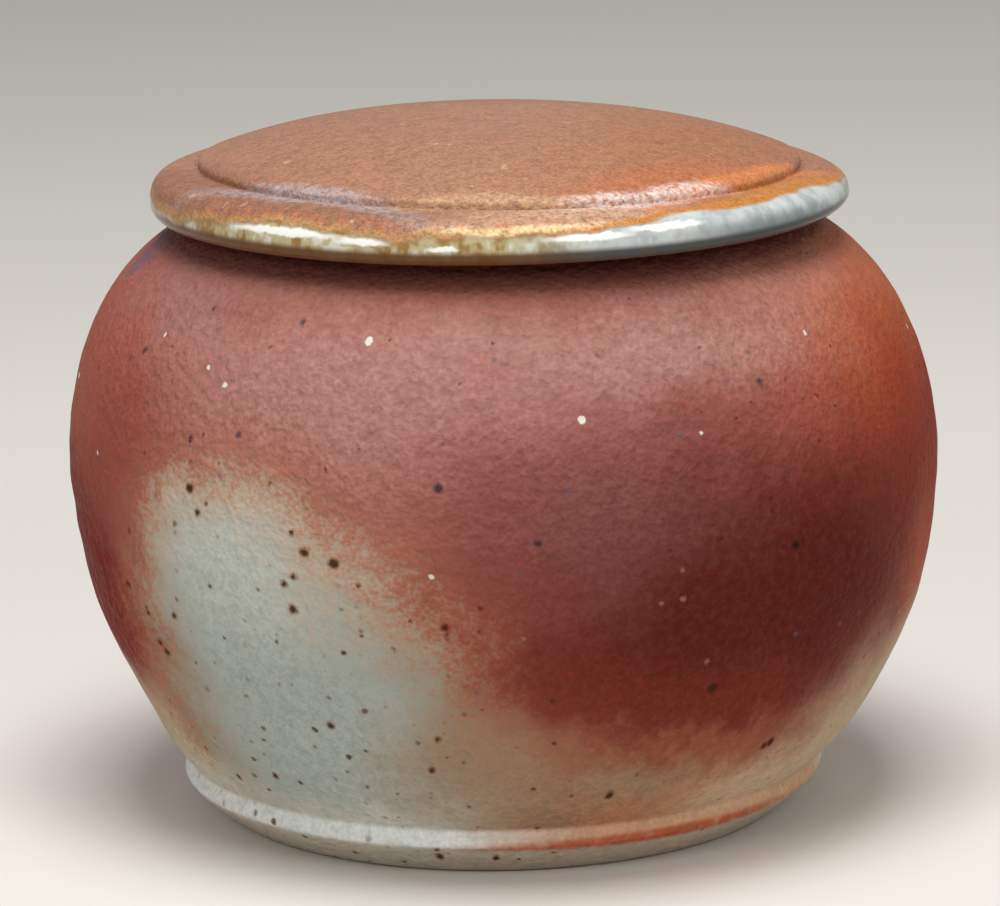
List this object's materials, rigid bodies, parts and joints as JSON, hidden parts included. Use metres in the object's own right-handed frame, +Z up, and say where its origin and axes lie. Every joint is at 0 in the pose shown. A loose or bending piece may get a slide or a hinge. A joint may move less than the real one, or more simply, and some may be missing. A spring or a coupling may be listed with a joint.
{
  "type": "bean pot",
  "caption": "Round-bellied stoneware bean pot on a bevelled foot, with a low open mouth and a shallow stepped lid that lifts off.",
  "frame": {"origin": "centre of the pot's foot, on the surface that it stands on", "axes": "+Z up along the axis that both pieces were thrown about; +X and +Y level"},
  "size_m": [0.2, 0.2, 0.1603],
  "materials": {
    "stoneware": "unglazed flashed stoneware, satin, with a fine grain",
    "ash_glazed_stoneware": "flashed stoneware with a thick gloss ash glaze round the rim"
  },
  "bodies": {
    "pot": {"pot_body": "stoneware"},
    "cover": {"lid": "ash_glazed_stoneware"}
  },
  "joints": [
    {"name": "lid_lift", "type": "slide", "parent": "pot", "child": "cover", "axis": [0, 0, 1], "range_m": [0, 0.08]}
  ]
}
